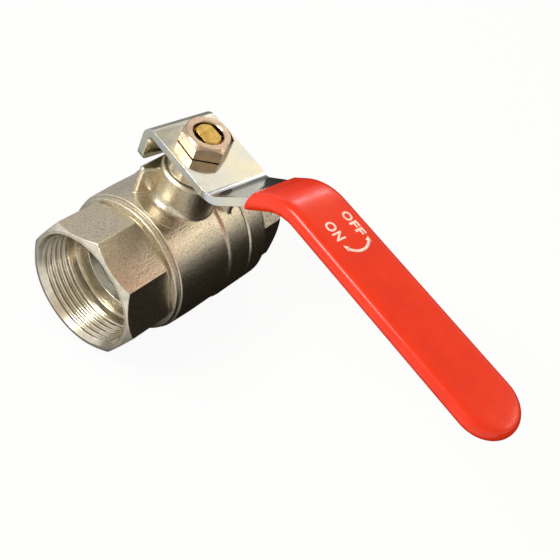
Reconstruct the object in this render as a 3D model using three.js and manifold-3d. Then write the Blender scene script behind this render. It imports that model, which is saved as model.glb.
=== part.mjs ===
// Lever ball valve, G1 1/4: two-piece forged body, floating ball, packed stem, bent lever with a grip.
// Millimetres, +Z up along the stem, +X along the pipe, origin at the centre of the ball.
// The rest pose is the photographed one, a few degrees short of shut, with the lever towards -Y.
import * as THREE from "three";
import { mergeVertices } from "three/addons/utils/BufferGeometryUtils.js";
import Module from "manifold-3d";

const wasm = await Module();
wasm.setup();

// Angles in radians and counts of faces; every other value is a length in millimetres.
const degree = Math.PI / 180;
const restShortOfShut = 8.4 * degree;
const travel = 90 * degree;
const sides = { wrench: 8, barrel: 64, tower: 40, ball: 48, ring: 36, stem: 32, corner: 5, bend: 8 };

// Clearances.
const gap = 0.3;
const slide = 0.35;
const overrun = 2;

const pipe = {
  threadRadius: 20.955,
  mouthFlare: 0.945,
  mouthDepth: 1.1,
  nearDepth: 18.2,
  farDepth: 17.94,
  floorDepth: 1.6,
};
const ends = {
  wrenchWall: 2.545,
  faceDrop: 0.4,
  nearWall: 3.937,
  farWall: 1.597,
  nearLength: 20.6,
  farLength: 12.1,
  chamferLength: 1.9,
  backLength: 1.5,
  farTurn: 17.6 * degree,
};
const barrel = {
  wall: 2.4,
  shoulderDrop: 0.8,
  shoulderLength: 1.6,
  grooveLength: 0.9,
  grooveDepth: 0.55,
  bandStep: 0.6,
  bandStart: 4.6,
  bandRise: 1.2,
  seamPastSeat: 2.14,
  seamChamfer: 0.6,
  ballRoom: 1.4,
};
const cap = {
  collarLength: 9,
  spigotLength: 7.2,
  edgeRound: 1,
};
const ballRadius = 23.5;
const ballWall = 8.5;
const portChamfer = 0.5;
const ballClearance = 0.8;
const slot = { width: 7.2, depth: 5.4 };
const seat = { thickness: 5.9, outerInset: 3, lipInset: 4.9, portRelief: 0.4 };
const jointSeal = { width: 0.9, thickness: 1.5 };

const tower = {
  wall: 3,
  topChamfer: 0.8,
  foot: 1,
  sink: 0.2,
};
const lug = { pastTab: 0.7, tipWidth: 2.1, tipLean: 1.1, frontSet: 2.5, overlap: 1.5, edgeRound: 1 };

const stem = {
  radius: 5,
  tangLength: 14,
  tangFit: 0.25,
  collarWidth: 3.2,
  collarLift: 0.9,
  collarThickness: 2.4,
  flats: 7,
  belowNut: 0.3,
  tipChamfer: 0.7,
};
const washerThickness = 0.9;
const webThickness = 2.1;
const packing = { width: 3.2, height: 2.3, count: 2 };
const gland = { engagement: 4.1, flangeStep: 1.8, flangeHeight: 7.4, slotWidth: 2.6, slotDepth: 2 };

const bar = {
  thickness: 3,
  lift: 0.5,
  headHalfWidth: 13.2,
  neckHalfWidth: 8.9,
  tipHalfWidth: 9.5,
  tabRoom: 0.9,
  tabDrop: 14.7,
  tabBend: 4.9,
  headEnd: 16,
  neckStart: 36,
  rampStart: 20.5,
  humpStart: 42.5,
  humpRise: 20.9,
  handleDrop: 1.2,
  end: 132.5,
  rampBend: 7.3,
  humpBend: 18,
  cornerRound: 2.2,
};
const grip = { wall: 1.5, mouth: 31.5 };
const nut = { wall: 3, height: 5.4, holeChamfer: 0.3, topDrop: 0.4, chamferHeight: 1.4, turn: 56.4 * degree };

const brassPlated = { color: 0xb0a48a, roughness: 0.34, metalness: 1 };
const brassBare = { color: 0xc9a955, roughness: 0.35, metalness: 1 };
const chromed = { color: 0xd8dadc, roughness: 0.08, metalness: 1 };
const zincSteel = { color: 0xdad8c8, roughness: 0.25, metalness: 1 };
const nutSteel = { color: 0xa08c78, roughness: 0.35, metalness: 1 };
const redVinyl = { color: 0xf04220, roughness: 0.35, metalness: 0 };
const fluoropolymer = { color: 0xf2f0ea, roughness: 0.6, metalness: 0 };

// A closed three.js geometry as a solid, turned to face outwards.
function solidOf(geometry) {
  const bare = new THREE.BufferGeometry();
  bare.setAttribute("position", geometry.getAttribute("position"));
  if (geometry.index) bare.setIndex(geometry.index);
  const merged = mergeVertices(bare, 1e-4);
  const vertProperties = new Float32Array(merged.attributes.position.array);
  const corners = Array.from(merged.index.array);
  const faces = [];
  for (let i = 0; i < corners.length; i += 3) {
    const [a, b, c] = corners.slice(i, i + 3);
    if (a !== b && b !== c && c !== a) faces.push(a, b, c);
  }
  const build = (list) =>
    new wasm.Manifold(new wasm.Mesh({ numProp: 3, vertProperties, triVerts: new Uint32Array(list) }));
  const made = build(faces);
  if (made.volume() > 0) return made;
  return build(faces.reverse());
}

// Joins or cuts a list of solids.
const join = (...solids) => solids.reduce((all, next) => all.add(next));
const cut = (body, ...tools) => tools.reduce((left, tool) => left.subtract(tool), body);

// Corner points [x, y, radius] as a closed outline with its corners rounded.
function rounded(corners, steps = sides.corner) {
  const points = [];
  corners.forEach(([x, y, radius = 0], i) => {
    const corner = new THREE.Vector2(x, y);
    if (!radius) {
      points.push(corner);
      return;
    }
    const before = corners[(i + corners.length - 1) % corners.length];
    const after = corners[(i + 1) % corners.length];
    const back = new THREE.Vector2(before[0], before[1]).sub(corner).normalize();
    const ahead = new THREE.Vector2(after[0], after[1]).sub(corner).normalize();
    const half = Math.acos(back.dot(ahead)) / 2;
    const reach = radius / Math.tan(half);
    const middle = back.clone().add(ahead).normalize().multiplyScalar(radius / Math.sin(half)).add(corner);
    const from = back.multiplyScalar(reach).add(corner).sub(middle);
    const to = ahead.multiplyScalar(reach).add(corner).sub(middle);
    const sweep = Math.atan2(from.cross(to), from.dot(to));
    for (let k = 0; k <= steps; k++) {
      points.push(from.clone().rotateAround(new THREE.Vector2(), (sweep * k) / steps).add(middle));
    }
  });
  return points;
}

// An outline of [radius, height] turned about Z, or about X with height along X.
function turned(outline, segments) {
  const closed = [...outline, outline[0]];
  return new THREE.LatheGeometry(closed, segments).rotateX(Math.PI / 2);
}
const aboutZ = (outline, segments) => solidOf(turned(outline, segments));
const aboutX = (outline, segments) => solidOf(turned(outline, segments).rotateY(Math.PI / 2));

const vectors = (pairs) => pairs.map(([x, y]) => new THREE.Vector2(x, y));
const ring = (inner, outer, low, high) =>
  vectors([
    [inner, low],
    [outer, low],
    [outer, high],
    [inner, high],
  ]);
const disc = (radius, low, high) => ring(0, radius, low, high);

// An outline in a plane, pulled up along Z between two heights.
function pulled(outline, low, high) {
  const depth = high - low;
  const geometry = new THREE.ExtrudeGeometry(new THREE.Shape(outline), { depth, bevelEnabled: false });
  return geometry.translate(0, 0, low);
}

function block(sizeX, sizeY, low, high) {
  const geometry = new THREE.BoxGeometry(sizeX, sizeY, high - low);
  return solidOf(geometry.translate(0, 0, (low + high) / 2));
}

// A regular outline by its width across flats, with a corner at the given turn from +Y.
function polygon(count, acrossFlats, turn) {
  const radius = acrossFlats / 2 / Math.cos(Math.PI / count);
  return Array.from({ length: count }, (_, i) => {
    const angle = turn + (2 * Math.PI * i) / count;
    return new THREE.Vector2(radius * Math.cos(angle), radius * Math.sin(angle));
  });
}

// A wrench end along X from its pipe face inwards, its corners chamfered back by the given length.
function wrenchEnd(face, length, back, turn) {
  const way = -Math.sign(face);
  const start = face + way * length;
  const root = start + way * overrun;
  const backStart = start - way * back;
  const chamferEnd = face + way * ends.chamferLength;
  const prism = pulled(
    polygon(sides.wrench, acrossFlats, turn),
    Math.min(root, face),
    Math.max(root, face),
  );
  const limit = vectors([
    [0, root],
    [acrossFlats / 2, root],
    [acrossFlats / 2, start],
    [cornerRadius, backStart],
    [cornerRadius + overrun, backStart],
    [cornerRadius + overrun, chamferEnd],
    [cornerRadius, chamferEnd],
    [acrossFlats / 2 - ends.faceDrop, face],
    [0, face],
  ]);
  return solidOf(prism.rotateY(Math.PI / 2)).intersect(aboutX(limit, sides.barrel));
}

// The hollow from a pipe face to the pocket of its seat, by the depth of its socket.
function socketOutline(face, depth) {
  const way = -Math.sign(face);
  const at = (inwards) => face + way * inwards;
  const port = portRadius + seat.portRelief;
  return vectors([
    [0, at(-overrun)],
    [mouthRadius + pipe.mouthFlare * (overrun / pipe.mouthDepth), at(-overrun)],
    [pipe.threadRadius, at(pipe.mouthDepth)],
    [pipe.threadRadius, at(depth - pipe.floorDepth)],
    [port, at(depth)],
    [port, -way * seatFloor],
    [pocketRadius, -way * seatFloor],
    [pocketRadius, -way * seatShelf],
    [0, -way * seatShelf],
  ]);
}

// Sizes across the pipe, worked outwards from the ball and from the pipe thread.
const portRadius = ballRadius - ballWall;
const lipRadius = ballRadius - seat.lipInset;
const seatRadius = ballRadius - seat.outerInset;
const pocketRadius = seatRadius + gap;
const chamberRadius = ballRadius + barrel.ballRoom;
const barrelRadius = chamberRadius + barrel.wall;
const bandRadius = barrelRadius + barrel.bandStep;
const sealRadius = chamberRadius + gap + jointSeal.width;
const mouthRadius = pipe.threadRadius + pipe.mouthFlare;
const acrossFlats = 2 * (pipe.threadRadius + ends.wrenchWall);
const cornerRadius = acrossFlats / 2 / Math.cos(Math.PI / sides.wrench);

// Places along the pipe, from the ball out to both faces.
const seatFront = Math.sqrt(ballRadius ** 2 - lipRadius ** 2);
const seatFloor = seatFront + seat.thickness + gap;
const seatShelf = Math.sqrt((ballRadius + ballClearance) ** 2 - pocketRadius ** 2);
const seam = seatFront + barrel.seamPastSeat;
const sealDepth = jointSeal.thickness + 2 * gap;
const capFace = seam + gap;
const nearFace = -(seatFloor + ends.nearWall + pipe.nearDepth);
const farFace = seatFloor + ends.farWall + pipe.farDepth;

// Heights up the stem, from the ball to the nut.
const slotFloor = ballRadius - slot.depth;
const collarBase = ballRadius + stem.collarLift;
const collarTop = collarBase + stem.collarThickness;
const washerBase = collarTop + gap;
const ceiling = washerBase + washerThickness + gap;
const packingFloor = ceiling + webThickness;
const packingStep = packing.height + gap;
const glandFoot = packingFloor + gap + packing.count * packingStep;
const towerTop = glandFoot + gland.engagement;
const flangeBase = towerTop + gap;
const flangeTop = flangeBase + gland.flangeHeight;
const plateBase = flangeTop + bar.lift;
const plateTop = plateBase + bar.thickness;
const tabFoot = plateTop - bar.tabDrop;
const nutBase = plateTop + gap;
const nutTop = nutBase + nut.height;
const stemTop = nutTop - stem.belowNut;
const shoulder = plateBase - gap;

// Sizes across the stem.
const stemCollar = stem.radius + stem.collarWidth;
const boreRadius = stem.radius + slide;
const packingRadius = stem.radius + packing.width;
const packingBore = packingRadius + gap;
const towerRadius = packingBore + tower.wall;
const flangeRadius = packingRadius + gland.flangeStep;
const tabInside = towerRadius + bar.tabRoom;
const tabFace = tabInside + bar.thickness;

function valveBody() {
  const octagonEnd = nearFace + ends.nearLength;
  const shoulderEnd = octagonEnd + barrel.shoulderLength;
  const outside = vectors([
    [0, octagonEnd],
    [acrossFlats / 2, octagonEnd],
    [barrelRadius - barrel.shoulderDrop, shoulderEnd],
    [barrelRadius - barrel.grooveDepth, shoulderEnd],
    [barrelRadius, shoulderEnd + barrel.grooveLength],
    [barrelRadius, barrel.bandStart],
    [bandRadius, barrel.bandStart + barrel.bandRise],
    [bandRadius, seam - barrel.seamChamfer],
    [bandRadius - barrel.seamChamfer, seam],
    [0, seam],
  ]);
  const chamber = vectors([
    [0, -seatShelf],
    [pocketRadius, -seatShelf],
    [chamberRadius, -seatShelf + chamberRadius - pocketRadius],
    [chamberRadius, seam + overrun],
    [0, seam + overrun],
  ]);
  const stemHollow = vectors([
    [0, -overrun],
    [stemCollar + slide, -overrun],
    [stemCollar + slide, ceiling],
    [boreRadius, ceiling],
    [boreRadius, packingFloor],
    [packingBore, packingFloor],
    [packingBore, towerTop + overrun],
    [0, towerTop + overrun],
  ]);
  const forging = join(
    aboutX(outside, sides.barrel),
    wrenchEnd(nearFace, ends.nearLength, ends.backLength, 0),
    stemTower(),
    stopLug(([x, y, radius]) => [x, y, radius]),
    stopLug(([x, y, radius]) => [y, x, radius]),
  );
  return cut(
    forging,
    aboutX(socketOutline(nearFace, pipe.nearDepth), sides.barrel),
    aboutX(chamber, sides.barrel),
    aboutX(disc(sealRadius, seam - sealDepth, seam + overrun), sides.barrel),
    aboutZ(stemHollow, sides.stem),
  );
}

// The tower is a loft of rings about Z: its rim, its wall, then a fillet whose rings lie on the barrel.
function stemTower() {
  const onBarrel = (radius, angle) => Math.sqrt(barrelRadius ** 2 - (radius * Math.sin(angle)) ** 2);
  const rings = [
    () => [towerRadius - tower.topChamfer, towerTop],
    () => [towerRadius, towerTop - tower.topChamfer],
  ];
  for (let k = 0; k <= sides.bend; k++) {
    const turn = ((Math.PI / 2) * k) / sides.bend;
    const radius = towerRadius + tower.foot * (1 - Math.cos(turn));
    rings.push((angle) => [
      radius,
      onBarrel(radius, angle) - tower.sink + tower.foot * (1 - Math.sin(turn)),
    ]);
  }
  rings.push(() => [towerRadius + tower.foot, 0]);
  return solidOf(lofted(rings, sides.tower));
}

// Rings of [radius, height], each a function of the angle, joined into a closed skin with flat ends.
function lofted(rings, count) {
  const positions = [];
  rings.forEach((ringAt) => {
    for (let i = 0; i < count; i++) {
      const angle = (2 * Math.PI * i) / count;
      const [radius, height] = ringAt(angle);
      positions.push(radius * Math.cos(angle), radius * Math.sin(angle), height);
    }
  });
  positions.push(0, 0, rings[0](0)[1], 0, 0, rings.at(-1)(0)[1]);
  const last = (rings.length - 1) * count;
  const index = [];
  for (let i = 0; i < count; i++) {
    const next = (i + 1) % count;
    for (let row = 0; row < last; row += count) {
      index.push(row + i, row + count + i, row + next, row + next, row + count + i, row + count + next);
    }
    index.push(last + count, i, next, last + count + 1, last + next, last + i);
  }
  const geometry = new THREE.BufferGeometry();
  geometry.setAttribute("position", new THREE.Float32BufferAttribute(positions, 3));
  return geometry.setIndex(index);
}

// An ear of the tower, whose flat stop face the inside of the lever's tab lands on.
// It is drawn for the shut lever, and placed as drawn or with X and Y changed over.
function stopLug(placed) {
  const stopFace = tabInside - gap;
  const reach = bar.headHalfWidth + lug.pastTab;
  const corners = [
    [0, lug.frontSet],
    [0, stopFace],
    [-reach, stopFace, lug.edgeRound],
    [-reach - lug.tipLean, stopFace - lug.tipWidth, lug.edgeRound],
  ];
  return solidOf(pulled(rounded(corners.map(placed)), 0, tabFoot + lug.overlap));
}

function endCap() {
  const octagonStart = farFace - ends.farLength;
  const spigotRadius = chamberRadius - gap;
  const mouth = seam - cap.spigotLength;
  const throat = Math.sqrt((ballRadius + ballClearance) ** 2 - mouth ** 2);
  const outside = rounded([
    [0, mouth],
    [spigotRadius, mouth],
    [spigotRadius, capFace],
    [bandRadius - barrel.seamChamfer, capFace],
    [bandRadius, capFace + barrel.seamChamfer],
    [bandRadius, capFace + cap.collarLength, cap.edgeRound],
    [cornerRadius, octagonStart],
    [0, octagonStart],
  ]);
  const inside = vectors([
    [0, mouth - overrun],
    [throat, mouth - overrun],
    [throat, mouth],
    [pocketRadius, seatShelf],
    [0, seatShelf],
  ]);
  return cut(
    join(
      aboutX(outside, sides.barrel),
      wrenchEnd(farFace, ends.farLength, 0, ends.farTurn),
    ),
    aboutX(socketOutline(farFace, pipe.farDepth), sides.barrel),
    aboutX(inside, sides.barrel),
  );
}

// The ball is an arc turned about its own bore, with a slot across its top for the stem.
function ball() {
  const lip = portRadius + portChamfer;
  const edge = Math.acos(lip / ballRadius);
  const outline = [new THREE.Vector2(portRadius, ballRadius * Math.sin(edge) - portChamfer)];
  const arcSteps = sides.ball / 2;
  for (let k = 0; k <= arcSteps; k++) {
    const angle = edge - (2 * edge * k) / arcSteps;
    outline.push(new THREE.Vector2(ballRadius * Math.cos(angle), ballRadius * Math.sin(angle)));
  }
  outline.push(new THREE.Vector2(portRadius, portChamfer - ballRadius * Math.sin(edge)));
  const across = 2 * (ballRadius + overrun);
  return aboutX(outline, sides.ball).subtract(block(slot.width, across, slotFloor, ballRadius + overrun));
}

// A seat ring hollowed where it bears on the ball, on the side that way names.
function seatRing(way) {
  const back = way * (seatFront + seat.thickness);
  const outline = vectors([
    [portRadius + seat.portRelief, back],
    [seatRadius, back],
    [seatRadius, way * seatFront],
  ]);
  const reach = ballRadius + gap;
  const from = Math.asin(lipRadius / reach);
  const to = Math.asin((portRadius + seat.portRelief) / reach);
  for (let k = 0; k <= sides.corner; k++) {
    const angle = from + ((to - from) * k) / sides.corner;
    outline.push(new THREE.Vector2(reach * Math.sin(angle), way * reach * Math.cos(angle)));
  }
  return aboutX(outline, sides.ring);
}

function jointSealRing() {
  const inner = chamberRadius;
  const low = seam - jointSeal.thickness - gap;
  return aboutX(ring(inner, inner + jointSeal.width, low, low + jointSeal.thickness), sides.ring);
}

// The stem stands in the ball's slot; its flats run along the lever, which lies along X here.
function valveStem() {
  const shaft = vectors([
    [0, collarBase],
    [stemCollar, collarBase],
    [stemCollar, collarTop],
    [stem.radius, collarTop],
    [stem.radius, stemTop - stem.tipChamfer],
    [stem.radius - stem.tipChamfer, stemTop],
    [0, stemTop],
  ]);
  const room = 2 * stemCollar + overrun;
  const flatted = block(room, stem.flats, shoulder, stemTop + overrun);
  const below = block(room, room, 0, shoulder);
  const tang = block(
    slot.width - 2 * stem.tangFit,
    stem.tangLength,
    slotFloor + gap,
    collarBase + stem.collarThickness / 2,
  );
  return join(aboutZ(shaft, sides.stem).intersect(join(flatted, below)), tang);
}

const thrustWasher = () =>
  aboutZ(ring(boreRadius, stemCollar, washerBase, washerBase + washerThickness), sides.ring);

function packingRing(number) {
  const low = packingFloor + gap + number * packingStep;
  return aboutZ(ring(boreRadius, packingRadius, low, low + packing.height), sides.ring);
}

// The gland screws into the tower; two slots across its top take a pin spanner.
function packingGland() {
  const outline = vectors([
    [boreRadius, glandFoot],
    [packingRadius, glandFoot],
    [packingRadius, flangeBase],
    [flangeRadius, flangeBase],
    [flangeRadius, flangeTop - tower.topChamfer],
    [flangeRadius - tower.topChamfer, flangeTop],
    [boreRadius, flangeTop],
  ]);
  const width = 2 * flangeRadius + overrun;
  const slotCut = block(gland.slotWidth, width, flangeTop - gland.slotDepth, flangeTop + overrun);
  return aboutZ(outline, sides.tower).subtract(slotCut);
}

// The middle line of the bent bar in the lever's own plane, from the foot of its tab to its tip.
function barPath() {
  const half = bar.thickness / 2;
  const tabMiddle = half - tabFace;
  const plateMiddle = plateTop - half;
  const handle = plateMiddle + bar.humpRise;
  return [
    [tabMiddle, tabFoot],
    [tabMiddle, plateMiddle, bar.tabBend - half],
    [bar.rampStart, plateMiddle, bar.rampBend],
    [bar.humpStart, handle, bar.humpBend],
    [bar.end, handle - bar.handleDrop],
  ];
}

// The side view of the bar at a given half thickness, run on past its ends by a length.
function sideView(half, extra) {
  const path = barPath();
  const last = path.at(-1);
  last[0] += extra;
  const bent = rounded(path, sides.bend);
  const upper = [];
  const lower = [];
  bent.forEach((point, i) => {
    const before = bent[Math.max(i - 1, 0)];
    const after = bent[Math.min(i + 1, bent.length - 1)];
    const along = after.clone().sub(before).normalize();
    const across = new THREE.Vector2(-along.y, along.x).multiplyScalar(half);
    upper.push(point.clone().add(across));
    lower.unshift(point.clone().sub(across));
  });
  return [...upper, ...lower];
}

// The plan view: broad head, tapered neck, handle with a round end, all grown by a length.
function planView(grow) {
  const head = bar.headHalfWidth + grow;
  const neck = bar.neckHalfWidth + grow;
  const tip = bar.tipHalfWidth + grow;
  const tail = -tabFace - overrun;
  const tipMiddle = bar.end + grow - tip;
  const outline = vectors([
    [tail, -head],
    [bar.headEnd, -head],
    [bar.neckStart, -neck],
  ]);
  const round = sides.bend * 2;
  for (let k = 0; k <= round; k++) {
    const angle = -Math.PI / 2 + (Math.PI * k) / round;
    outline.push(new THREE.Vector2(tipMiddle + tip * Math.cos(angle), tip * Math.sin(angle)));
  }
  outline.push(...vectors([[bar.neckStart, neck], [bar.headEnd, head], [tail, head]]));
  return outline;
}

// A bar is its side view pulled across the lever, kept inside its plan view pulled upwards.
function barSolid(grow) {
  const half = bar.thickness / 2 + grow;
  const reach = bar.headHalfWidth + grow + overrun;
  const side = pulled(sideView(half, overrun + grow), -reach, reach).rotateX(Math.PI / 2);
  const plan = pulled(planView(grow), tabFoot - overrun, plateTop + bar.humpRise + grow + overrun);
  return solidOf(side).intersect(solidOf(plan));
}

// The tab of the bar has rounded lower corners, cut by a rounded frame that the tab hangs through.
function lever() {
  const hole = aboutZ(disc(stem.radius + gap, plateBase - overrun, plateTop + overrun), sides.stem);
  const room = 2 * (stem.radius + overrun);
  const flats = block(room, stem.flats + 2 * gap, plateBase - overrun, plateTop + overrun);
  const head = bar.headHalfWidth;
  const tall = plateTop + bar.humpRise + overrun;
  const front = rounded([
    [-head, tabFoot, bar.cornerRound],
    [head, tabFoot, bar.cornerRound],
    [head, tall],
    [-head, tall],
  ]);
  const across = pulled(front, -tabFace - overrun, bar.end + overrun);
  const frame = solidOf(across.rotateX(Math.PI / 2).rotateZ(Math.PI / 2));
  return barSolid(0).intersect(frame).subtract(hole.intersect(flats));
}

// The grip is a skin round the handle, cut square at its mouth.
function leverGrip() {
  const low = tabFoot - overrun;
  const high = plateTop + bar.humpRise + bar.headHalfWidth;
  const length = bar.end + 2 * grip.wall - grip.mouth + overrun;
  const wide = 2 * (bar.headHalfWidth + overrun);
  const keep = new THREE.BoxGeometry(length, wide, high - low);
  keep.translate(grip.mouth + length / 2, 0, (low + high) / 2);
  return cut(barSolid(grip.wall).intersect(solidOf(keep)), barSolid(gap));
}

// A low nut with its top corners turned off and a chamfered hole.
function leverNut() {
  const hole = stem.radius + gap;
  const across = 2 * (stem.radius + nut.wall);
  const corner = across / 2 / Math.cos(Math.PI / 6);
  const turnedOutline = vectors([
    [hole, nutBase],
    [corner, nutBase],
    [corner, nutTop - nut.chamferHeight],
    [across / 2 - nut.topDrop, nutTop],
    [hole + nut.holeChamfer, nutTop],
    [hole, nutTop - nut.holeChamfer],
  ]);
  const hexagon = solidOf(pulled(polygon(6, across, nut.turn), nutBase - overrun, nutTop + overrun));
  return aboutZ(turnedOutline, sides.tower).intersect(hexagon);
}

// A solid as a named mesh with its own material.
function piece(name, solid, finish) {
  const mesh = solid.getMesh();
  const geometry = new THREE.BufferGeometry();
  geometry.setAttribute("position", new THREE.BufferAttribute(new Float32Array(mesh.vertProperties), 3));
  geometry.setIndex(new THREE.BufferAttribute(new Uint32Array(mesh.triVerts), 1));
  const made = new THREE.Mesh(geometry, new THREE.MeshStandardMaterial(finish));
  made.name = name;
  return made;
}

const fixedParts = new THREE.Group();
fixedParts.add(
  piece("valve_body", valveBody(), brassPlated),
  piece("end_cap", endCap(), brassPlated),
  piece("body_joint_seal", jointSealRing(), fluoropolymer),
  piece("seat_ring_inlet", seatRing(-1), fluoropolymer),
  piece("seat_ring_outlet", seatRing(1), fluoropolymer),
  piece("stem_thrust_washer", thrustWasher(), fluoropolymer),
  piece("stem_packing_lower", packingRing(0), fluoropolymer),
  piece("stem_packing_upper", packingRing(1), fluoropolymer),
  piece("packing_gland", packingGland(), brassPlated),
);

// What turns: made with the lever along +X, then turned to where the photograph has it.
const turningParts = new THREE.Group();
turningParts.add(
  piece("ball", ball(), chromed),
  piece("valve_stem", valveStem(), brassBare),
  piece("lever", lever(), zincSteel),
  piece("lever_grip", leverGrip(), redVinyl),
  piece("lever_nut", leverNut(), nutSteel),
);
turningParts.rotation.z = -travel - restShortOfShut;

const valve = new THREE.Group();
valve.add(fixedParts, turningParts);
export default valve;
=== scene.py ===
import math

import bmesh
import bpy
import numpy as np
from mathutils import Matrix


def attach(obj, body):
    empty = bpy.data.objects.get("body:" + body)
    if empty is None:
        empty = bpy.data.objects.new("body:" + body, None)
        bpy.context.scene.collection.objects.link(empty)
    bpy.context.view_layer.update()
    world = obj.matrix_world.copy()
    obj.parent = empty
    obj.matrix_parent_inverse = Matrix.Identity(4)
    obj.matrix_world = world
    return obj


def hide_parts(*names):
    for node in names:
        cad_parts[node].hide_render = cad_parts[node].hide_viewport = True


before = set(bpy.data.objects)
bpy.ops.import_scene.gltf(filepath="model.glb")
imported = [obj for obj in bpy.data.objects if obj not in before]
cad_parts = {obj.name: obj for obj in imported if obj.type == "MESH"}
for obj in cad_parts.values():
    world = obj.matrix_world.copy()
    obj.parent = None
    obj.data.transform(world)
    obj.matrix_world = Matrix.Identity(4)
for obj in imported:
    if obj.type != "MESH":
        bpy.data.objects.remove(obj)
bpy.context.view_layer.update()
print("frame loaded:", len(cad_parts), "nodes")

mm = 0.001  # every size below is in millimetres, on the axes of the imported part
leverTurn = -98.4  # where the lever points at rest, in degrees from +X

# Roundings of edges, from one that is cut to one that is forged.
sharp, crisp, machined, eased, broken, dulled, soft, forgedEdge = 0.1, 0.15, 0.2, 0.25, 0.3, 0.35, 0.4, 0.5

tiny = 1e-9  # keeps a division away from zero
shortest = 1e-6  # no side and no radius counts as less
weld = {"points": 2e-6, "slivers": 1e-7}  # in metres: what lies closer becomes one
towerColumns, ballColumns, smallColumns = 145, 129, 97  # columns of points round an axis, by size


# Several of a piece's sizes, by their names.
def sizesOf(piece, *names):
    return [piece[name] for name in names]


def placeObject(name, data):
    made = bpy.data.objects.new(name, data)
    bpy.context.scene.collection.objects.link(made)
    return made


# Stands an object at a place in millimetres, with the directions of its own X, Y and Z.
def standAt(made, place, *axes):
    turn = Matrix(axes).transposed().to_4x4()
    made.matrix_world = Matrix.Translation([value * mm for value in place]) @ turn


# Camera, solved from the photograph: place, then the directions of its right, up and back.
cameraSettings = {
    "place": (-190.616, -105.953, 241.031),
    "right": (0.61048, -0.71034, 0.35033),
    "up": (0.44745, 0.67428, 0.58748),
    "back": (-0.65353, -0.20189, 0.72948),
    "lens": 54.638,
    "sensor": 36.0,
    "clip": (10, 20000),
}


def makeCamera(settings):
    data = bpy.data.cameras.new("camera")
    data.lens = settings["lens"]
    data.sensor_width = settings["sensor"]
    data.clip_start, data.clip_end = (distance * mm for distance in settings["clip"])
    camera = placeObject("camera", data)
    standAt(camera, settings["place"], settings["right"], settings["up"], settings["back"])
    bpy.context.scene.camera = camera


# A hex colour in the linear values that nodes take, by the curve of sRGB.
def linear(hexColour):
    channels = [int(hexColour[i : i + 2], 16) / 255 for i in (1, 3, 5)]
    curved = [c / 12.92 if c <= 0.04045 else ((c + 0.055) / 1.055) ** 2.4 for c in channels]
    return (*curved, 1.0)


# Adds one node; settings go on the node, links maps an input to a value or to another node's output.
def addNode(tree, kind, links=None, **settings):
    node = tree.nodes.new(kind)
    for name, value in settings.items():
        setattr(node, name, value)
    for name, value in (links or {}).items():
        if isinstance(value, bpy.types.NodeSocket):
            tree.links.new(value, node.inputs[name])
        else:
            node.inputs[name].default_value = value
    return node


# Empties the nodes of a new material or world and hands its tree back.
def emptyTree(owner):
    owner.use_nodes = True
    owner.node_tree.nodes.clear()
    return owner.node_tree


# Starts a material: its tree, its shader with fixed values, and Object coordinates in millimetres.
def newMaterial(name, **values):
    material = bpy.data.materials.new(name)
    tree = emptyTree(material)
    shader = addNode(tree, "ShaderNodeBsdfPrincipled", values)
    addNode(tree, "ShaderNodeOutputMaterial", {"Surface": shader.outputs["BSDF"]})
    place = addNode(tree, "ShaderNodeTexCoord").outputs["Object"]
    links = {0: place, 1: (1 / mm, 1 / mm, 1 / mm)}
    inMillimetres = addNode(tree, "ShaderNodeVectorMath", links, operation="MULTIPLY")
    return material, tree, shader, inMillimetres.outputs[0]


# Place of a point on a turned piece: along the axis, distance from it, and nothing round it, so that a
# pattern on it makes the rings that a cutting tool leaves.
def lathePlace(tree, place, axis):
    parts = addNode(tree, "ShaderNodeSeparateXYZ", {0: place}).outputs
    across = {0: 0.0, 1: parts[1], 2: parts[2]} if axis == "x" else {0: parts[0], 1: parts[1], 2: 0.0}
    across = addNode(tree, "ShaderNodeCombineXYZ", across).outputs[0]
    radius = addNode(tree, "ShaderNodeVectorMath", {0: across}, operation="LENGTH").outputs["Value"]
    along = parts[0] if axis == "x" else parts[2]
    return addNode(tree, "ShaderNodeCombineXYZ", {0: along, 1: radius, 2: 0.0}).outputs[0]


# Noise whose blobs are about the given size in millimetres, stretched along the axes of stretch. Its way is
# the axis of a lathe that left it, or the lever's.
def grain(tree, place, size, detail=2, roughness=0.5, stretch=(1, 1, 1), way=None):
    if way == "lever":
        turn = {"Vector": place, "Rotation": (0, 0, math.radians(-leverTurn))}
        place = addNode(tree, "ShaderNodeMapping", turn, vector_type="POINT").outputs[0]
    elif way:
        place = lathePlace(tree, place, way)
    scale = tuple(1 / (size * part) for part in stretch)
    scaled = addNode(tree, "ShaderNodeVectorMath", {0: place, 1: scale}, operation="MULTIPLY")
    settings = {"Vector": scaled.outputs[0], "Scale": 1.0, "Detail": detail, "Roughness": roughness}
    return addNode(tree, "ShaderNodeTexNoise", settings).outputs[0]


def ranged(tree, value, low, high, fromLow, fromHigh):
    links = {0: value, 1: fromLow, 2: fromHigh, 3: low, 4: high}
    return addNode(tree, "ShaderNodeMapRange", links).outputs[0]


# A colour between two hex ones.
def mixedColour(tree, share, low, high):
    links = {0: share, 6: linear(low), 7: linear(high)}
    return addNode(tree, "ShaderNodeMix", links, data_type="RGBA").outputs[2]


def computed(tree, operation, *values):
    return addNode(tree, "ShaderNodeMath", dict(enumerate(values)), operation=operation).outputs[0]


def bumped(tree, height, distance, under):
    links = {"Height": height, "Distance": distance * mm, "Strength": 1.0}
    if under:
        links["Normal"] = under
    return addNode(tree, "ShaderNodeBump", links).outputs[0]


# Ends a material's tree with one shader mixed into another by a share.
def mixShaders(tree, share, first, second):
    mixed = addNode(tree, "ShaderNodeMixShader", {0: share, 1: first.outputs[0], 2: second.outputs[0]})
    addNode(tree, "ShaderNodeOutputMaterial", {"Surface": mixed.outputs[0]})


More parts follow.
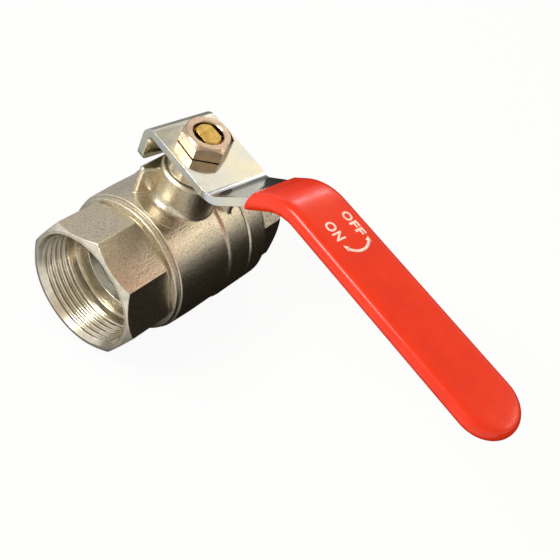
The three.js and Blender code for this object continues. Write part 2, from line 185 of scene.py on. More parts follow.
# Faces between the neighbouring points of a grid whose first point has the number offset.
def gridFaces(rows, columns, offset=0):
    number = offset + np.arange(rows * columns).reshape(rows, columns)
    quads = np.stack([number[:-1, :-1], number[:-1, 1:], number[1:, 1:], number[1:, :-1]], axis=-1)
    return quads.reshape(-1, 4)


# Angles all round the axis, the first one repeated at the end.
def allRound(count):
    return np.linspace(0, 2 * math.pi, count)


# Studio: a white floor, a pale room, four soft lamps and a dark flag that only reflections see, as
# photographers lay one under bright metal. Directions are (azimuth, elevation) from the object, in degrees.
studio = {
    "floorHeight": -27.95,
    "floorSize": 3000,
    "floorGlow": 0.93,
    "floorColour": "#F4F4F2",
    "room": {"light": 0.58, "backdrop": 1.0, "ceiling": 0.64, "colour": "#FFF3DC", "heights": (20, 35)},
    "lampDistance": 900,
    "lamps": {
        "left": {"from": (147, 44), "size": (400, 240), "radiance": 17.0, "colour": "#FFFFFF"},
        "back": {"from": (21, 40), "size": (240, 260), "radiance": 0.84, "colour": "#FFF8E4"},
        "right": {"from": (-40, 41), "size": (400, 150), "radiance": 3.2, "colour": "#FFF3E4"},
        "window": {"from": (31, 31), "size": (150, 110), "radiance": 6.0, "colour": "#F0F6FF"},
    },
    "flag": {
        "height": 1.2,
        "flatTo": 480,
        "reach": 760,
        "lift": 330,
        "fineTo": 120,
        "coarseFrom": 130,
        "rows": (41, 40),
        "columns": 145,
        "nearFade": (30, 90),
        "rimFade": 0.2,
        "colour": "#221F1B",
        "frontEdge": (-90, -66),
        "shares": [(-180, 0), (-130, 0.7), (-110, 1), (30, 1), (55, 0.5), (150, 0.4), (175, 0), (180, 0)],
    },
}


# 1 for the rays that show the background to the eye: straight, mirrored or through glass.
def seenRays(tree):
    path = addNode(tree, "ShaderNodeLightPath").outputs
    seen = computed(tree, "MAXIMUM", path["Is Camera Ray"], path["Is Glossy Ray"])
    return computed(tree, "MAXIMUM", seen, path["Is Transmission Ray"])


# The floor is white to the camera and in reflections, and an ordinary pale floor to the light.
def makeFloor(settings):
    half, height = settings["floorSize"] / 2, settings["floorHeight"]
    corners = [(-half, -half), (half, -half), (half, half), (-half, half)]
    mesh = bpy.data.meshes.new("floor")
    mesh.from_pydata([(x * mm, y * mm, height * mm) for x, y in corners], [], [(0, 1, 2, 3)])
    material = bpy.data.materials.new("white floor")
    tree = emptyTree(material)
    share = computed(tree, "MULTIPLY", seenRays(tree), settings["floorGlow"])
    matte = addNode(tree, "ShaderNodeBsdfDiffuse", {"Color": linear(settings["floorColour"])})
    glow = addNode(tree, "ShaderNodeEmission", {"Color": (1, 1, 1, 1), "Strength": 1.0})
    mixShaders(tree, share, matte, glow)
    mesh.materials.append(material)
    placeObject("floor", mesh)


# The room lights the object evenly. What is seen of it is a white backdrop, and above that a ceiling that
# is warmer and less bright.
def makeRoom(settings):
    room = settings["room"]
    world = bpy.data.worlds.new("pale room")
    bpy.context.scene.world = world
    tree = emptyTree(world)
    direction = addNode(tree, "ShaderNodeTexCoord").outputs["Generated"]
    height = addNode(tree, "ShaderNodeSeparateXYZ", {0: direction}).outputs[2]
    low, high = (math.sin(math.radians(angle)) for angle in room["heights"])
    shown = ranged(tree, height, room["backdrop"], room["ceiling"], low, high)
    more = computed(tree, "SUBTRACT", shown, room["light"])
    strength = computed(tree, "MULTIPLY_ADD", seenRays(tree), more, room["light"])
    warmth = ranged(tree, height, 0, 1, low, high)
    colour = mixedColour(tree, warmth, "#FFFFFF", room["colour"])
    light = addNode(tree, "ShaderNodeBackground", {"Color": colour, "Strength": strength})
    addNode(tree, "ShaderNodeOutputWorld", {"Surface": light.outputs[0]})


# Each lamp's power follows from the brightness that its face should have: radiance times pi times area.
def makeLamps(settings):
    for name, lamp in settings["lamps"].items():
        azimuth, elevation = (math.radians(angle) for angle in lamp["from"])
        level = math.cos(elevation)
        back = np.array([level * math.cos(azimuth), level * math.sin(azimuth), math.sin(elevation)])
        side = np.cross((0, 0, 1), back)
        side = side / np.linalg.norm(side)
        data = bpy.data.lights.new(name, "AREA")
        data.shape = "RECTANGLE"
        data.size, data.size_y = (value * mm for value in lamp["size"])
        data.energy = lamp["radiance"] * math.pi * data.size * data.size_y
        data.color = linear(lamp["colour"])[:3]
        place = back * settings["lampDistance"]
        standAt(placeObject(name, data), place, side, np.cross(back, side), back)


# The flag is a round sheet just above the floor, its rim lifted by the square of how far out it is. A column
# is an azimuth and a row a distance from the middle; each point's share of darkness is the azimuth's share,
# made full near the middle and faded at rim and front.
def makeFlag(settings):
    flag = settings["flag"]
    fineRows, coarseRows = flag["rows"]
    azimuth = np.linspace(-180, 180, flag["columns"])
    fine = np.linspace(0, flag["fineTo"], fineRows)
    coarse = np.linspace(flag["coarseFrom"], flag["reach"], coarseRows)
    distance = np.concatenate([fine, coarse])[:, None]
    beyond = np.clip((distance - flag["flatTo"]) / (flag["reach"] - flag["flatTo"]), 0, 1)
    x = distance * np.cos(np.radians(azimuth))
    y = distance * np.sin(np.radians(azimuth))
    z = settings["floorHeight"] + flag["height"] + flag["lift"] * beyond**2 + 0 * x
    share = np.interp(azimuth, *zip(*flag["shares"]))[None] + 0 * x
    full, faded = flag["nearFade"]
    share = share + (1 - share) * np.clip((faded - distance) / (faded - full), 0, 1)
    rim = np.clip((1 - beyond) / flag["rimFade"], 0, 1)
    start, end = flag["frontEdge"]
    share = share * rim * np.clip((x - start) / (end - start), 0, 1)
    mesh = bpy.data.meshes.new("dark flag")
    mesh.from_pydata(np.stack([x, y, z], axis=-1).reshape(-1, 3) * mm, [], gridFaces(*x.shape))
    attribute = mesh.attributes.new("darkness", "FLOAT", "POINT")
    attribute.data.foreach_set("value", share.ravel().astype(np.float32))
    material = bpy.data.materials.new("dark flag")
    tree = emptyTree(material)
    darkness = addNode(tree, "ShaderNodeAttribute", attribute_name="darkness").outputs["Fac"]
    clear = addNode(tree, "ShaderNodeBsdfTransparent")
    cloth = addNode(tree, "ShaderNodeBsdfDiffuse", {"Color": linear(flag["colour"])})
    mixShaders(tree, darkness, clear, cloth)
    mesh.materials.append(material)
    made = placeObject("dark flag", mesh)
    made.visible_camera = made.visible_diffuse = made.visible_shadow = False


# A finish has two colours, a range of roughness, and grains. One grain mixes the colours and one sets the
# roughness, each by a stretch of its range, as noise keeps near its middle. Bumps are heights in
# millimetres, each lying on the one before.
noiseSpan, cloudSpan = (0.3, 0.7), (0.35, 0.65)
metal, plastic = {"Metallic": 1.0}, {"Metallic": 0.0}

# Nickel plated forging brass, shot blasted before plating: an even dull grain of pits of about half a
# millimetre, drawn a little coarser than real, so that the change from light to dark breaks into speckles.
forgedFinish = {
    "shader": metal,
    "grains": {"pits": {"size": 0.66, "detail": 3, "roughness": 0.6}, "waves": {"size": 6.0, "detail": 1}},
    "colours": ("#B0A691", "#D7CEB9"),
    "mixedBy": ("pits", 0.36, 0.5),
    "roughness": (0.34, 0.25),
    "roughBy": ("pits", 0, 1),
    "bumps": {"waves": 0.08, "pits": 0.14},
}

# Steel strip, bent cold and bright zinc plated: a milky mirror with rolling marks along the bar, and clouds
# from bluish to yellowish where the plating's thickness changes.
zincFinish = {
    "shader": metal,
    "grains": {
        "clouds": {"size": 11.0},
        "marks": {"size": 0.35, "stretch": (26.0, 1, 1), "way": "lever"},
        "dents": {"size": 4.5, "detail": 1},
    },
    "colours": ("#C4C8CD", "#D8D4BE"),
    "mixedBy": ("clouds", *cloudSpan),
    "roughness": (0.1, 0.17),
    "roughBy": ("clouds", *noiseSpan),
    "bumps": {"dents": 0.05, "marks": 0.006},
}

# Dipped PVC: a thick glossy skin that took its shape wet, so it waves slightly and has no mould marks.
vinylFinish = {
    "shader": {"Metallic": 0.0, "IOR": 1.43, "Coat Weight": 0.05, "Coat Roughness": 0.1},
    "grains": {"clouds": {"size": 9.0}, "waves": {"size": 3.5}},
    "colours": ("#E32C05", "#EE3206"),
    "mixedBy": ("clouds", *noiseSpan),
    "roughness": (0.2, 0.28),
    "roughBy": ("waves", *noiseSpan),
    "bumps": {"waves": 0.014},
}


# A metal turned about an axis: bright, with the tool's fine rings, drawn coarser, and an uneven polish. The
# colours are the dull one and the bright one.
def turnedFinish(colours, roughness, ringSize, ringDepth, axis="z"):
    rings = {"size": ringSize, "roughness": 0.7, "way": axis}
    return {
        "shader": metal,
        "grains": {"rings": rings, "smear": {"size": 3.0}},
        "colours": colours,
        "mixedBy": ("smear", 0.3, 0.6),
        "roughness": roughness,
        "roughBy": ("smear", *noiseSpan),
        "bumps": {"rings": ringDepth},
    }


# A plain finish with a faint uneven gloss.
def plainFinish(shader, colours, roughness, size):
    return {
        "shader": shader,
        "grains": {"cloud": {"size": size, "detail": 3}},
        "colours": colours,
        "mixedBy": ("cloud", *cloudSpan),
        "roughness": roughness,
        "roughBy": ("cloud", *noiseSpan),
        "bumps": {"cloud": 0.004},
    }


# Nickel plated brass is turned or threaded before plating, about the pipe's axis or upright. The stem is
# bare brass, and the nut is zinc plated steel with a warm tint.
finishes = {
    "blasted nickel plated brass": forgedFinish,
    "turned nickel plated brass": turnedFinish(("#C9C0AC", "#DDD5C3"), (0.26, 0.18), 0.3, 0.012, "x"),
    "turned nickel plated brass, upright": turnedFinish(("#C9C0AC", "#DDD5C3"), (0.26, 0.18), 0.3, 0.012),
    "turned bare brass": turnedFinish(("#B08D48", "#CDAC62"), (0.34, 0.22), 0.35, 0.01),
    "tinted zinc plated steel": turnedFinish(("#B8A18D", "#CDB7A2"), (0.32, 0.2), 0.4, 0.015),
    "bright zinc plated steel": zincFinish,
    "dipped red PVC": vinylFinish,
    "polished chrome": plainFinish(metal, ("#ABACAA", "#BDBEBC"), (0.1, 0.04), 5),
    "skived PTFE": plainFinish(plastic, ("#E6E3DA", "#F4F2EC"), (0.6, 0.45), 1.5),
    "printed ink": plainFinish(plastic, ("#FBCDBD", "#FFE6DA"), (0.5, 0.35), 0.8),
}


def makeFinish(name, finish):
    material, tree, shader, place = newMaterial(name, **finish["shader"])
    grains = {kind: grain(tree, place, **settings) for kind, settings in finish["grains"].items()}
    kind, *span = finish["mixedBy"]
    colour = mixedColour(tree, ranged(tree, grains[kind], 0, 1, *span), *finish["colours"])
    kind, *span = finish["roughBy"]
    roughness = ranged(tree, grains[kind], *finish["roughness"], *span)
    normal = None
    for kind, depth in finish["bumps"].items():
        normal = bumped(tree, grains[kind], depth, normal)
    for socketName, output in (("Base Color", colour), ("Roughness", roughness), ("Normal", normal)):
        tree.links.new(output, shader.inputs[socketName])
    return material


# An arc may take up a share of its shorter side, and the rows beside it stand off by a share of its radius
# or of that side. A corner whose cosine is past straightest counts as straight.
arcs = {
    "steps": 5,
    "sideShare": 0.45,
    "besideRadiusShare": 0.25,
    "besideSideShare": 0.04,
    "straightest": 0.99999,
}


# The direction at a share of the way round from start to end, which are an angle of sweep apart.
def swung(start, end, sweep, share):
    return (np.sin((1 - share) * sweep) * start + np.sin(share * sweep) * end) / np.sin(sweep)


# Rounds the corners of an outline in every column at once: corners is (corner, column, 2). Each corner
# becomes an arc that touches both of its sides, with one more row just outside each end of the arc. A point
# of the arc is a share of the turn from its first radius to its last, laid on its centre.
def roundedRows(corners, radii, steps=arcs["steps"], closed=True):
    back = np.roll(corners, 1, axis=0) - corners
    ahead = np.roll(corners, -1, axis=0) - corners
    backLength = np.maximum(np.linalg.norm(back, axis=2, keepdims=True), shortest)
    aheadLength = np.maximum(np.linalg.norm(ahead, axis=2, keepdims=True), shortest)
    back, ahead = back / backLength, ahead / aheadLength
    shorter = np.minimum(backLength, aheadLength)
    cosine = (back * ahead).sum(axis=2, keepdims=True)
    half = np.arccos(np.clip(cosine, -arcs["straightest"], arcs["straightest"])) / 2
    wanted = np.stack([np.broadcast_to(wide, corners.shape[1]) for wide in radii])[..., None]
    reach = np.minimum(wanted / np.tan(half), arcs["sideShare"] * shorter)
    radius = np.maximum(reach * np.tan(half), shortest)
    middle = back + ahead
    middle = middle / np.maximum(np.linalg.norm(middle, axis=2, keepdims=True), tiny)
    centre = corners + middle * radius / np.sin(half)
    start = (corners + back * reach - centre) / radius
    end = (corners + ahead * reach - centre) / radius
    sweep = np.pi - 2 * half
    outside = np.minimum(arcs["besideRadiusShare"] * radius, arcs["besideSideShare"] * shorter)
    rows = [corners + back * (reach + outside)]
    for share in np.linspace(0, 1, steps + 1):
        rows.append(centre + radius * swung(start, end, sweep, share))
    rows.append(corners + ahead * (reach + outside))
    rows = np.stack(rows, axis=1)
    if closed:
        rows = rows.reshape(-1, *corners.shape[1:])
        return np.concatenate([rows, rows[:1]])
    inner = rows[1:-1].reshape(-1, *corners.shape[1:])
    return np.concatenate([corners[:1], inner, corners[-1:]])


# Lays out corners (place, radius, rounding) for every column; each value may be an array over the columns.
def outlineRows(corners, columns, closed=True):
    table = np.array([[np.broadcast_to(value, columns) for value in corner[:2]] for corner in corners])
    return roundedRows(table.transpose(0, 2, 1), [corner[2] for corner in corners], closed=closed)


# Number of the last row of the last corner given, where an open outline passes to its next finish.
def lastRow(corners):
    return (arcs["steps"] + 3) * (len(corners) - 1)


# Turns rows of (place along the axis, radius) about X or Z, one angle for each column.
def spun(rows, angles, axis):
    along, radius = rows[..., 0], rows[..., 1]
    if axis == "x":
        return np.stack([along, radius * np.cos(angles), radius * np.sin(angles)], axis=-1)
    return np.stack([radius * np.cos(angles), radius * np.sin(angles), along], axis=-1)


# Where a polygon's columns lie between a corner and the end of its arc, and the first two past that.
cornerShares = np.array([0.35, 0.7, 1.0, 1.6, 2.6])


# A regular polygon with rounded corners, one of them at turn: angles all round, close together at the
# corners and with the first one repeated at the end, and the distance from the middle at each. On a flat
# it is the flat's distance over the cosine of the angle from the flat's middle, and on a corner the far
# crossing of that direction with the corner's circle.
def polygonOutline(sides, turn, across, cornerRound, between=10):
    half, flat = math.pi / sides, across / 2
    touch = math.atan((flat - cornerRound) * math.tan(half) / flat)
    fromEdge = (half - touch) * cornerShares
    near, inner = fromEdge[:-1], half - fromEdge[-1]
    sector = [[-half], near - half, np.linspace(-inner, inner, between), half - near[::-1]]
    angles = (turn + half + np.arange(sides)[:, None] * 2 * half + np.concatenate(sector)).ravel()
    angles = np.append(angles, angles[0] + 2 * math.pi)
    fromFlat = np.abs((angles - turn) % (2 * half) - half)
    fromCorner = half - fromFlat
    centre = (flat - cornerRound) / math.cos(half)
    within = np.maximum(cornerRound**2 - (centre * np.sin(fromCorner)) ** 2, 0)
    arc = centre * np.cos(fromCorner) + np.sqrt(within)
    return angles, np.where(fromFlat < touch, flat / np.cos(fromFlat), arc)


# Puts meshes together into one: points that lie together become one, and faces without area go.
def mergeInto(mesh, parts):
    work = bmesh.new()
    for part in parts:
        work.from_mesh(part)
    bmesh.ops.remove_doubles(work, verts=work.verts, dist=weld["points"])
    bmesh.ops.dissolve_degenerate(work, edges=work.edges, dist=weld["slivers"])
    bmesh.ops.recalc_face_normals(work, faces=work.faces)
    work.to_mesh(mesh)
    work.free()


def turnedPoints(points, degrees):
    angle = math.radians(degrees)
    cosine, sine = math.cos(angle), math.sin(angle)
    return points @ np.array([[cosine, sine, 0], [-sine, cosine, 0], [0, 0, 1]])


# One closed mesh from grids of points in millimetres, each (row, column, 3), with a material for each grid.
# Edges that coincide are merged, so a grid may close on itself or end in a single point. What turns with
# the lever is drawn with the lever along +X.
def makePiece(name, grids, materials, body, replaced):
    points, faces, finishes, offset = [], [], [], 0
    turn = leverTurn if body == "turning_set" else 0
    for grid, finish in grids:
        rows, columns = grid.shape[:2]
        points.append(turnedPoints(grid.reshape(-1, 3), turn) * mm)
        faces.append(gridFaces(rows, columns, offset))
        finishes.append(np.full(len(faces[-1]), finish))
        offset += rows * columns
    mesh = bpy.data.meshes.new(name)
    mesh.from_pydata(np.concatenate(points), [], np.concatenate(faces))
    for material in materials:
        mesh.materials.append(material)
    mesh.polygons.foreach_set("material_index", np.concatenate(finishes).astype(np.int32))
    mergeInto(mesh, [mesh])
    mesh.shade_smooth()
    made = placeObject(name, mesh)
    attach(made, body)
    if replaced:
        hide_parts(*replaced)
    return made


# Both ends of the pipe: an internal parallel thread in a wrench end.
socket = {
    "bore": 20.955,
    "mouth": 21.9,
    "mouthDepth": 1.1,
    "pitch": 2.309,
    "threadDepth": 1.05,
    "ridgeFlat": 0.08,
    "threadLength": 13.2,
    "samples": 10,
    "port": 15.4,
    "across": 47.0,
    "cornerRound": 0.7,
    "face": 23.1,
    "chamferSlope": 1.23,
}


# A helical ridge on the bore: its height is a smooth triangle once a pitch, the place along the pipe moves
# on by one pitch in each turn, the mouth's cone cuts its start and it fades out over its last turn.
def threadRows(angles, face, way):
    pitch, bore, length = sizesOf(socket, "pitch", "bore", "threadLength")
    turn = (angles - angles[0]) / (2 * math.pi)
    count = math.ceil((length / pitch + 1) * socket["samples"]) + 1
    step = np.arange(count)[:, None] / socket["samples"]
    depth = np.clip(pitch * (step + way * turn - max(way, 0)), 0, length)
    flat = socket["ridgeFlat"]
    tri = np.clip((1 - np.abs(2 * (step % 1) - 1) - flat) / (1 - 2 * flat), 0, 1)
    ridge = socket["threadDepth"] * tri * tri * (3 - 2 * tri)
    fade = np.clip((length - depth) / pitch, 0, 1)
    cone = bore - depth * (socket["mouth"] - bore) / socket["mouthDepth"]
    radius = np.maximum(bore - ridge * fade, cone)
    return np.stack([face + way * (socket["mouthDepth"] + depth), radius], axis=-1)


# Places along the pipe, and radii. The cap is measured on the same axes.
body = {
    "face": -42.7,
    "octagonEnd": -23.6,
    "backSlope": 1.3,
    "valley": -22.1,
    "collarFoot": 26.0,
    "collarEnd": -20.5,
    "footRise": 0.25,
    "footRound": 0.6,
    "valleySunk": 0.05,
    "collar": 26.5,
    "groove": 25.9,
    "grooveLength": 0.5,
    "grooveWall": 0.3,
    "barrelStart": -19.6,
    "barrel": 27.3,
    "taper": 0.4,
    "taperEnd": -9.0,
    "taperRound": 8,
    "band": 27.9,
    "bandStart": 4.6,
    "bandRise": 1.2,
    "bandRound": 1.5,
    "seam": 16.5,
    "seamChamfer": 0.6,
    "chamber": 24.9,
    "sealPocket": (14.4, 26.1),
    "pocket": 20.8,
    "floor": 20.56,
    "shelf": 12.56,
    "boreEnd": -26.1,
    "portStart": -24.5,
}
cap = {
    "face": 40.1,
    "octagonStart": 28.0,
    "seam": 16.8,
    "collarEnd": 25.8,
    "turn": 17.6,
    "mouth": 9.3,
    "spigot": 24.6,
    "collarRound": 1.2,
    "backStep": 0.25,
    "backProud": 0.02,
    "lip": 22.45,
    "boreEnd": 23.76,
    "portStart": 22.16,
}


# Corners inside one half of the pipe, from the thread's end to the seat's pocket.
def innerCorners(half, way):
    bore, port, pocket = socket["bore"], socket["port"], body["pocket"]
    floor, shelf = (-way * body[name] for name in ("floor", "shelf"))
    return [
        (half["face"] + way * socket["mouthDepth"] + way * socket["threadLength"], bore, sharp),
        (half["boreEnd"], bore, forgedEdge),
        (half["portStart"], port, broken),
        (floor, port, machined),
        (floor, pocket, machined),
        (shelf, pocket, machined),
    ]


# The grids of one half of the pipe with their finishes, 0 forged and 1 turned: the thread, and an outline
# turned about the pipe's axis, which runs from the thread's end through the half and back over its outside
# to the end face. On the wrench end the radius is the octagon's at each angle, and a chamfer's place along
# the pipe moves by what that has over the chamfer's last radius, divided by the chamfer's slope.
def pipeGrids(half, polygon, inside, outside, way):
    angles, octagon = polygon
    face = half["face"]
    inside = innerCorners(half, way) + inside
    chamfer = way * (octagon - socket["face"]) / socket["chamferSlope"]
    outside = outside + [(face + chamfer, octagon, broken)]
    edge = [
        (face, socket["face"], crisp),
        (face, socket["mouth"], machined),
        (face + way * socket["mouthDepth"], socket["bore"], sharp),
    ]
    rows = spun(outlineRows(inside + outside + edge, len(angles), closed=False), angles, "x")
    first, last = lastRow(inside), lastRow(inside + outside)
    return [
        (spun(threadRows(angles, face, way), angles, "x"), 1),
        (rows[: first + 1], 1),
        (rows[first : last + 1], 0),
        (rows[last:], 1),
    ]


def makeBody(forged, turned):
    polygon = polygonOutline(8, 0, socket["across"], socket["cornerRound"])
    octagon = polygon[1]
    seam, band, barrel, chamber = sizesOf(body, "seam", "band", "barrel", "chamber")
    sealStart, sealRadius = body["sealPocket"]
    grooveEnd = body["barrelStart"] - body["grooveWall"]
    inside = [
        (-body["shelf"] + chamber - body["pocket"], chamber, forgedEdge),
        (sealStart, chamber, sharp),
        (sealStart, sealRadius, sharp),
        (seam, sealRadius, sharp),
        (seam, band - body["seamChamfer"], crisp),
    ]
    outside = [
        (seam - body["seamChamfer"], band, soft),
        (body["bandStart"] + body["bandRise"], band, body["bandRound"]),
        (body["bandStart"], barrel, body["bandRound"]),
        (body["taperEnd"], barrel, body["taperRound"]),
        (body["barrelStart"], barrel - body["taper"], forgedEdge),
        (grooveEnd, body["groove"], eased),
        (grooveEnd - body["grooveLength"], body["groove"], machined),
        (body["collarEnd"], body["collar"], dulled),
        (body["valley"] + body["footRise"], body["collarFoot"], body["footRound"]),
        (body["valley"], socket["across"] / 2 - body["valleySunk"], broken),
        (body["octagonEnd"] + (octagon.max() - octagon) / body["backSlope"], octagon, soft),
    ]
    grids = pipeGrids(body, polygon, inside, outside, 1) + towerGrids()
    makePiece("body_forging", grids, [forged, turned], "valve", ["valve_body"])


# Radii and heights of the tower. Its ears, which stop the lever's tab, are measured from the stem's axis.
tower = {
    "bore": 8.5,
    "boreFoot": 22,
    "radius": 11.5,
    "top": 40.0,
    "rim": 0.8,
    "foot": 1.1,
    "footReach": 2.2,
    "footSunk": 0.03,
    "skirtSunk": 0.08,
    "skirt": (2, 0.5),
    "webFoot": 3.3,
    "webReach": 7.4,
    "webPower": 2.5,
    "earTop": 37.3,
    "earFace": 12.1,
    "earReach": 13.9,
    "earLean": 1.1,
    "earTip": 2.1,
    "earFront": 2.5,
    "earRound": 1.5,
    "earEdge": 1.1,
    "earFoot": 0.5,
    "earSunk": 0.06,
    "earDepth": 3,
}


# Height of the barrel's outside over a point of the plan: the root of its radius squared less y squared.
def barrelHeight(x, y):
    rise = np.clip((x - body["bandStart"]) / body["bandRise"], 0, 1)
    radius = body["barrel"] + (body["band"] - body["barrel"]) * rise
    return np.sqrt(np.maximum(radius**2 - y**2, 1))


# The tower is turned about Z. Its foot rounds out onto the barrel at the barrel's own height all round, and
# swells towards the near end with a power of the cosine of the angle from there.
def towerGrids():
    angles = allRound(towerColumns)
    cosine, sine = np.cos(angles), np.sin(angles)
    bore, radius, top, rim, near = sizesOf(tower, "bore", "radius", "top", "rim", "footReach")
    web = np.clip(-cosine, 0, 1) ** tower["webPower"]
    out = radius + near + (tower["webReach"] - near) * web
    foot = barrelHeight(radius * cosine, radius * sine) - tower["footSunk"]
    away = barrelHeight(out * cosine, out * sine) - tower["skirtSunk"]
    drop, inwards = tower["skirt"]
    corners = [
        (tower["boreFoot"], bore, sharp),
        (top, bore, machined),
        (top, radius - rim, eased),
        (top - rim, radius, broken),
        (foot, radius, tower["foot"] + (tower["webFoot"] - tower["foot"]) * web),
        (away, out, sharp),
        (away - drop, out - inwards, sharp),
    ]
    grids = [(spun(outlineRows(corners, len(angles)), angles, "z"), 0)]
    face, reach, lean = sizesOf(tower, "earFace", "earReach", "earLean")
    ear = [(0, tower["earFront"]), (0, face), (-reach, face), (-reach - lean, face - tower["earTip"])]
    for corners in (ear, [(y, x) for x, y in reversed(ear)]):
        grids.append((makeEar(corners), 0))
    return grids


# A stop ear is a prism with rounded corners, a rounded upper edge and a foot that runs out onto the barrel:
# every column is a direction outwards from a corner's own centre, and every row goes out along it by the
# row's share of the corner's rounding. A foot row at angle t stands out from the wall by the foot's size
# times (1 - sin t) and above the barrel by its size times (1 - cos t).
def makeEar(corners, steps=6, edgeRows=8):
    cornerRound, edge, high, foot = sizesOf(tower, "earRound", "earEdge", "earTop", "earFoot")
    corners = np.array(corners, float)
    following = np.roll(corners, -1, axis=0)
    ahead = following - corners
    ahead = ahead / np.linalg.norm(ahead, axis=1, keepdims=True)
    outwards = np.sign(np.cross(corners, following).sum())
    normal = np.stack([ahead[:, 1], -ahead[:, 0]], axis=1) * outwards
    before = np.roll(normal, 1, axis=0)
    cosine = (before * normal).sum(axis=1, keepdims=True)
    centres = corners - cornerRound * (before + normal) / (1 + cosine)
    sweep = np.arccos(np.clip(cosine, -1, 1))
    shares = np.linspace(0, 1, steps + 1)[:, None, None]
    arms = swung(before, normal, sweep, shares)
    arms = arms.transpose(1, 0, 2).reshape(-1, 2)
    middles = np.repeat(centres, steps + 1, axis=0)
    arms, middles = np.vstack([arms, arms[:1]]), np.vstack([middles, middles[:1]])
    turn = np.linspace(0, math.pi / 2, edgeRows)
    low = cornerRound + foot * (1 - np.sin(turn))
    out = np.concatenate([low, cornerRound - edge + edge * np.cos(turn)])
    plan = middles[None] + arms[None] * out[:, None, None]
    ground = barrelHeight(plan[: len(low), :, 0], plan[: len(low), :, 1]) - tower["earSunk"]
    rise = ground + foot * (1 - np.cos(turn))[:, None]
    level = (high - edge + edge * np.sin(turn))[:, None] + 0 * ground[:1]
    height = np.concatenate([ground[:1] - tower["earDepth"], rise, level, high + 0 * ground[:1]])
    centre = np.broadcast_to(centres.mean(axis=0), (1, *plan.shape[1:]))
    plan = np.concatenate([centre, plan, centre])
    return np.concatenate([plan, height[..., None]], axis=2)


# The cap's octagon is turned by the angle at which it was screwed home.
def makeCap(forged, turned):
    polygon = polygonOutline(8, math.radians(cap["turn"]), socket["across"], socket["cornerRound"])
    octagon = polygon[1]
    seam, mouth, spigot, back = sizesOf(cap, "seam", "mouth", "spigot", "octagonStart")
    inside = [
        (mouth, cap["lip"], machined),
        (mouth, spigot, soft),
        (seam, spigot, sharp),
        (seam, body["band"] - body["seamChamfer"], crisp),
    ]
    outside = [
        (seam + body["seamChamfer"], body["band"], soft),
        (cap["collarEnd"], body["band"], cap["collarRound"]),
        (back, octagon.max() + cap["backProud"], soft),
        (back + cap["backStep"], octagon, dulled),
    ]
    grids = pipeGrids(cap, polygon, inside, outside, -1)
    makePiece("end_cap_forging", grids, [forged, turned], "valve", ["end_cap"])


chromedBall = {"radius": 23.5, "port": 15.0, "portChamfer": 0.5, "slotWidth": 7.2, "slotFloor": 18.1}


# A sphere as circles about its bore: at each turn the place along the bore is the radius times the turn's
# sine and the circle's radius is the radius times its cosine. The slot is cut flat across its top.
def makeBall(materials, beside=20, between=9):
    radius, port, chamfer = sizesOf(chromedBall, "radius", "port", "portChamfer")
    edge = math.acos((port + chamfer) / radius)
    side = math.asin(chromedBall["slotWidth"] / 2 / radius)
    stretches = [(-edge, -side, beside), (-side, side, between), (side, edge, beside)]
    turns = np.concatenate([np.linspace(*stretch) for stretch in stretches])
    inner = radius * math.sin(edge) - chamfer
    rows = np.stack([radius * np.sin(turns), radius * np.cos(turns)], axis=1)
    rows = np.vstack([[(-inner, port)], rows, [(inner, port)], [(-inner, port)]])
    angles = allRound(ballColumns)
    grid = spun(np.repeat(rows[:, None], len(angles), axis=1), angles, "x")
    slot = slice(beside + 1, beside + 1 + between)
    grid[slot, :, 2] = np.minimum(grid[slot, :, 2], chromedBall["slotFloor"])
    makePiece("chromed_ball", [(grid, 0)], materials, "turning_set", ["ball"])


brassStem = {
    "radius": 5.0,
    "flats": 7.0,
    "collar": 8.2,
    "tang": (6.7, 14.0),
    "heights": {"foot": 18.4, "collarBase": 24.4, "collarTop": 26.8, "shoulder": 47.9, "top": 56.6},
    "flatStep": 0.01,
    "tipChamfer": 0.7,
}


# The stem is turned about Z, its radius in each direction held inside its flats or its tang.
def makeStem(materials):
    radius, flats, chamfer = brassStem["radius"], brassStem["flats"] / 2, brassStem["tipChamfer"]
    corner = math.asin(flats / radius)
    marks = [corner, math.pi - corner, math.pi + corner, 2 * math.pi - corner]
    angles = np.sort(np.concatenate([allRound(smallColumns), marks]))
    sine, cosine = np.abs(np.sin(angles)) + tiny, np.abs(np.cos(angles)) + tiny
    flatted = np.minimum(radius, flats / sine)
    tip = np.minimum(radius - chamfer, flats / sine)
    tang = np.minimum(brassStem["tang"][0] / 2 / cosine, brassStem["tang"][1] / 2 / sine)
    high, collar = brassStem["heights"], brassStem["collar"]
    corners = [
        (high["foot"], 0, sharp),
        (high["foot"], tang, broken),
        (high["collarBase"], tang, sharp),
        (high["collarBase"], collar, machined),
        (high["collarTop"], collar, machined),
        (high["collarTop"], radius, machined),
        (high["shoulder"], radius, sharp),
        (high["shoulder"] + brassStem["flatStep"], flatted, sharp),
        (high["top"] - chamfer, flatted, crisp),
        (high["top"], tip, machined),
        (high["top"], 0, sharp),
    ]
    grid = spun(outlineRows(corners, len(angles), closed=False), angles, "z")
    makePiece("stem", [(grid, 0)], materials, "turning_set", ["valve_stem"])


lowNut = {
    "across": 16.0,
    "hole": 5.3,
    "base": 51.5,
    "top": 56.9,
    "topRadius": 7.6,
    "holeChamfer": 0.35,
    "chamfer": 1.4,
    "turn": 56.4,
    "cornerRound": 0.25,
}


